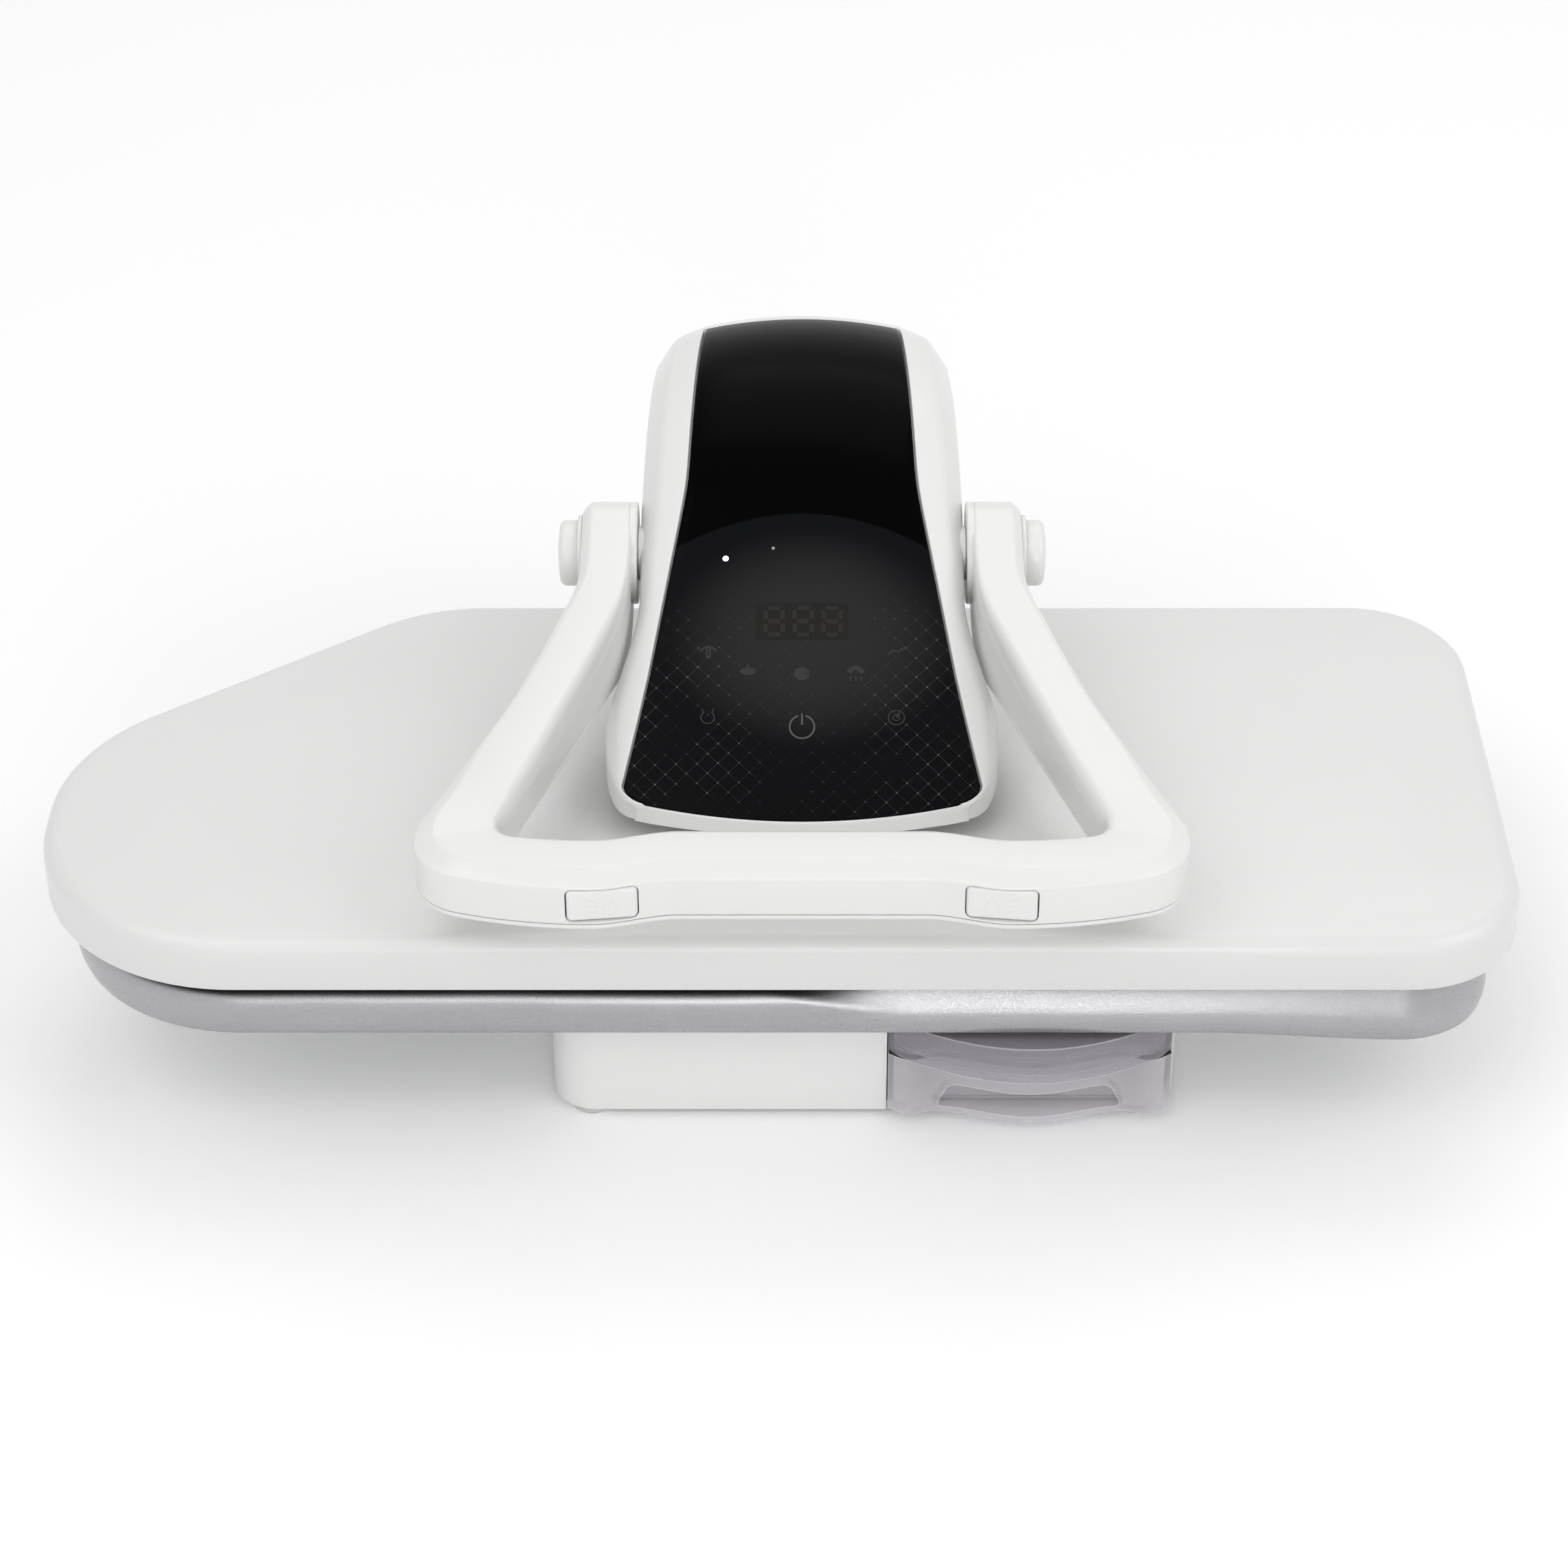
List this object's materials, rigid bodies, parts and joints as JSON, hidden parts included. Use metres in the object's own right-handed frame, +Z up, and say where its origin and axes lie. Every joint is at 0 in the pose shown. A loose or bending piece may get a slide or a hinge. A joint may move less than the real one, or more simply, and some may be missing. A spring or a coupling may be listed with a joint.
{
  "type": "steam ironing press",
  "caption": "Table-top steam ironing press: padded silver board on a low base, hinged heated plate with a nose, U-shaped press handle, sloping control panel and slide-out water tank.",
  "frame": {"origin": "middle of the closed press's bounding box, on the plane of the rubber feet", "axes": "+X along the plate to the user's right, +Y away from the user, +Z up"},
  "size_m": [0.656, 0.399, 0.2533],
  "materials": {
    "white_plastic": "smooth moulded, satin gloss",
    "white_enamel": "smooth satin white paint",
    "grey_plastic": "moulded, matt",
    "black_panel": "high gloss black, back-printed",
    "display_black": "matt black",
    "rubber": "matt black",
    "steel": "bright",
    "pan_steel": "galvanised",
    "dark_steel": "dark grey",
    "aluminium": "machined",
    "brass": "plain",
    "silver_fabric": "metal-coated ironing cloth",
    "foam": "open-cell pad",
    "smoky_tank": "clear, smoky violet grey",
    "circuit_board": "solder mask green"
  },
  "bodies": {
    "base": {"base_shell": "white_plastic", "floor_plate": "grey_plastic", "rubber_feet": "rubber", "floor_screws": "steel", "hinge_tower": "dark_steel", "tower_bolts": "steel", "hinge_axle": "steel", "axle_clips": "dark_steel", "lift_springs": "steel", "board_pan": "pan_steel", "board_screws": "steel", "foam_pad": "foam", "board_cover": "silver_fabric", "water_pump": "grey_plastic", "pump_hose": "rubber", "tank_socket": "grey_plastic", "power_board": "circuit_board", "cord_gland": "rubber"},
    "tank": {"tank_body": "smoky_tank", "tank_lid": "smoky_tank", "tank_seal": "rubber", "tank_valve": "grey_plastic"},
    "cap": {"tank_cap": "smoky_tank"},
    "arm": {"arm_housing": "white_plastic", "arm_undercover": "white_plastic", "undercover_screws": "steel", "control_panel": "black_panel", "control_board": "circuit_board", "display_module": "display_black", "touch_pads": "steel", "arm_frame": "dark_steel", "hinge_bushes": "brass", "shaft_bushes": "brass", "guide_block": "aluminium"},
    "handle": {"handle_body": "white_plastic", "handle_cover": "grey_plastic", "handle_shaft": "steel", "hub_washers": "white_plastic", "hub_caps": "white_plastic", "pressure_cams": "steel", "button_switches": "display_black"},
    "steam_button_left": {"button_left": "white_plastic"},
    "steam_button_right": {"button_right": "white_plastic"},
    "plate": {"plate_cover": "white_enamel", "insulation_mat": "foam", "cover_clips": "steel", "sole_plate": "aluminium", "heating_element": "dark_steel", "steam_chamber": "aluminium", "thermostat": "grey_plastic", "thermal_fuse": "brass", "press_column": "steel", "return_spring": "steel"}
  },
  "joints": [
    {"name": "arm_hinge", "type": "hinge", "parent": "base", "child": "arm", "pos_m": [0.012, 0.1395, 0.105], "axis": [-1, 0, 0], "range_deg": [0, 45], "deforming": ["lift_springs"]},
    {"name": "handle_pivot", "type": "hinge", "parent": "arm", "child": "handle", "pos_m": [0.012, 0.0225, 0.1941], "axis": [-1, 0, 0], "range_deg": [0, 40]},
    {"name": "plate_press", "type": "slide", "parent": "arm", "child": "plate", "axis": [0, 0, 1], "range_m": [0, 0.003], "deforming": ["return_spring"]},
    {"name": "steam_press_left", "type": "slide", "parent": "handle", "child": "steam_button_left", "axis": [0, 1, 0], "range_m": [0, 0.002], "stiffness_N_per_m": 600},
    {"name": "steam_press_right", "type": "slide", "parent": "handle", "child": "steam_button_right", "axis": [0, 1, 0], "range_m": [0, 0.002], "stiffness_N_per_m": 600},
    {"name": "tank_slide", "type": "slide", "parent": "base", "child": "tank", "axis": [0, -1, 0], "range_m": [0, 0.19]},
    {"name": "cap_turn", "type": "hinge", "parent": "tank", "child": "cap", "pos_m": [0.114, -0.06, 0.0436], "axis": [0, 0, 1], "range_deg": [0, 90]}
  ],
  "couplings": [
    {"joint": "plate_press", "follows": "handle_pivot", "m_per_rad": 0.004297}
  ]
}
